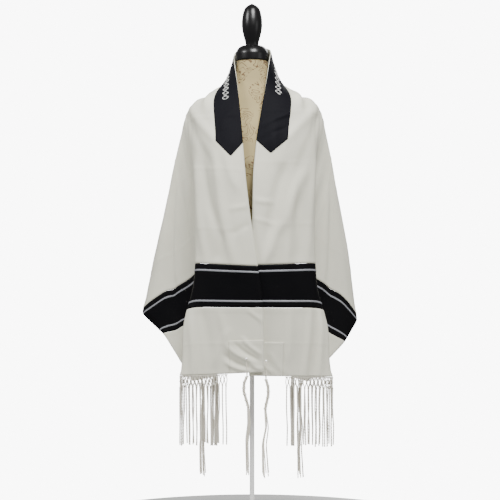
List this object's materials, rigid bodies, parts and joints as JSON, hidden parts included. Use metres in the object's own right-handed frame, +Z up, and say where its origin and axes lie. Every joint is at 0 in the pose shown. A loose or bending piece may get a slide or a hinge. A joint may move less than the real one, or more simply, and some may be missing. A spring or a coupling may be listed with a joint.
{
  "type": "tallit prayer shawl draped on a limbless dress form",
  "caption": "White tallit prayer shawl with black bands, navy neckband, knotted fringe and corner tassels, draped over a limbless linen dress form with a turned black finial",
  "frame": {"origin": "centre of the stand base's underside, on the floor", "axes": "+Z up, the shawl's front faces -Y, +X is the viewer's right in front of it"},
  "size_m": [0.65, 0.3401, 1.582],
  "materials": {
    "white_cloth": "smooth twill with a soft sheen",
    "black_band_cloth": "satin weave",
    "silver_ribbon": "metallic thread ribbon",
    "navy_neckband_cloth": "matt weave with pale embroidery",
    "white_fringe_thread": "twisted thread",
    "tassel_cord": "twisted wool cord",
    "form_linen": "plain linen",
    "black_lacquered_wood": "glossy lacquer",
    "white_painted_steel": "satin paint"
  },
  "bodies": {
    "root": {"main_cloth": "white_cloth", "end_left": "white_cloth", "end_right": "white_cloth", "patch_front_left": "white_cloth", "patch_back_left": "white_cloth", "patch_front_right": "white_cloth", "patch_back_right": "white_cloth", "band_left": "black_band_cloth", "band_right": "black_band_cloth", "ribbon_upper_left": "silver_ribbon", "ribbon_lower_left": "silver_ribbon", "ribbon_upper_right": "silver_ribbon", "ribbon_lower_right": "silver_ribbon", "neckband": "navy_neckband_cloth", "fringe_left": "white_fringe_thread", "fringe_right": "white_fringe_thread", "tassel_front_left": "tassel_cord", "tassel_back_left": "tassel_cord", "tassel_front_right": "tassel_cord", "tassel_back_right": "tassel_cord", "form_torso": "form_linen", "neck_cap": "black_lacquered_wood", "finial": "black_lacquered_wood", "stand_pole": "white_painted_steel", "stand_base": "white_painted_steel"}
  },
  "joints": []
}
